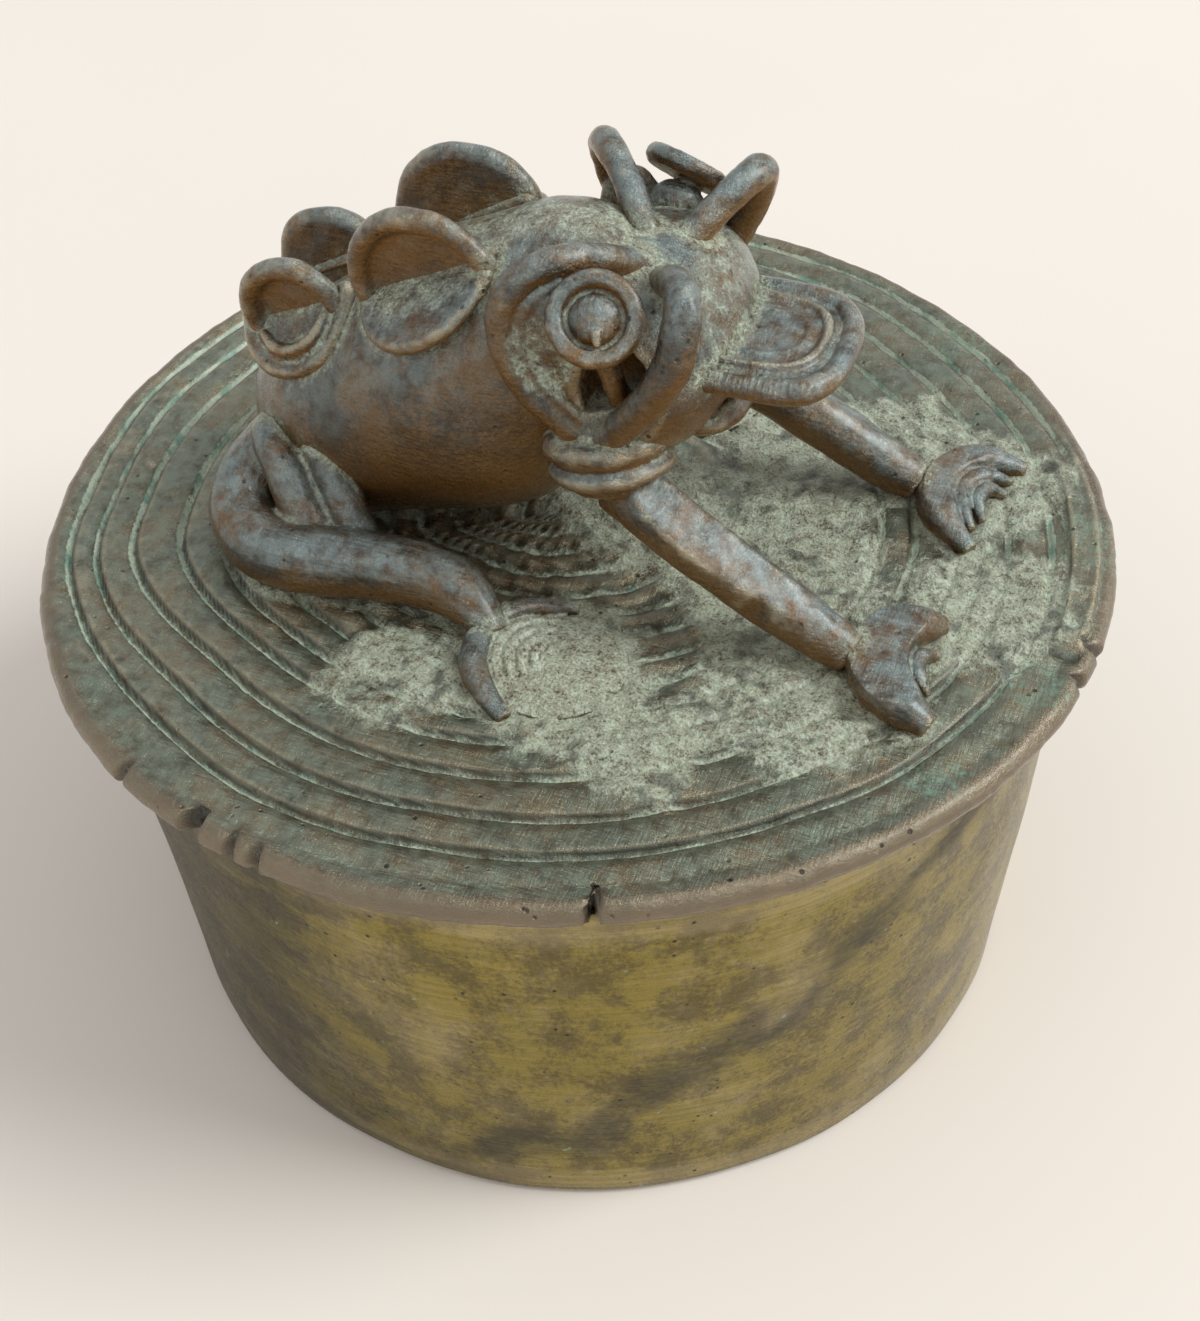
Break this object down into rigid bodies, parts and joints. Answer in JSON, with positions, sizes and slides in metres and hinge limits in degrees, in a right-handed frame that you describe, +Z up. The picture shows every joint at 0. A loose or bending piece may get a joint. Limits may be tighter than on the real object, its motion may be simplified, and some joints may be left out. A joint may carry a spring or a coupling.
{
  "type": "lidded box",
  "caption": "Round cast-brass box with a loose lid of coiled threads, on which sits a frog of rods, discs and ringed eyes; it holds gold dust or other small valuables.",
  "frame": {"origin": "middle of the box's base, on the surface that it stands on", "axes": "+Z up, +X the way the frog looks, +Y to the frog's left"},
  "size_m": [0.08, 0.08, 0.0667],
  "materials": {
    "box_brass": "aged olive-gold brass, brushed round the wall, with dark streaks and green spots",
    "lid_patina": "dark brown patina with pale green verdigris in the grooves and a worn rim",
    "frog_patina": "dark brown patina, rubbed bright on the high places, with pale dirt in the joints"
  },
  "bodies": {
    "box": {"box_wall": "box_brass", "box_floor": "box_brass"},
    "lid": {"lid_plate": "lid_patina", "lid_collar": "lid_patina", "rim_thread": "lid_patina", "coil_thread": "lid_patina", "frog_body": "frog_patina", "frog_head": "frog_patina", "upper_lip": "frog_patina", "upper_lip_rim": "frog_patina", "lip_thread": "frog_patina", "lower_lip": "frog_patina", "left_eye_rear_strand": "frog_patina", "left_eye_front_strand": "frog_patina", "left_eye_coil": "frog_patina", "left_eye_pellet": "frog_patina", "left_eye_stalk": "frog_patina", "left_mid_upper_plate": "frog_patina", "left_mid_lower_plate": "frog_patina", "left_rear_upper_plate": "frog_patina", "left_rear_lower_plate": "frog_patina", "left_shoulder": "frog_patina", "left_shoulder_bands": "frog_patina", "left_foreleg": "frog_patina", "left_fore_foot": "frog_patina", "left_hind_thigh": "frog_patina", "left_hind_shank": "frog_patina", "left_hind_foot": "frog_patina", "right_eye_rear_strand": "frog_patina", "right_eye_front_strand": "frog_patina", "right_eye_coil": "frog_patina", "right_eye_pellet": "frog_patina", "right_eye_stalk": "frog_patina", "right_mid_upper_plate": "frog_patina", "right_mid_lower_plate": "frog_patina", "right_rear_upper_plate": "frog_patina", "right_rear_lower_plate": "frog_patina", "right_shoulder": "frog_patina", "right_shoulder_bands": "frog_patina", "right_foreleg": "frog_patina", "right_fore_foot": "frog_patina", "right_hind_thigh": "frog_patina", "right_hind_shank": "frog_patina", "right_hind_foot": "frog_patina"}
  },
  "joints": [
    {"name": "lid_lift", "type": "slide", "parent": "box", "child": "lid", "axis": [0, 0, 1], "range_m": [0, 0.04]}
  ]
}
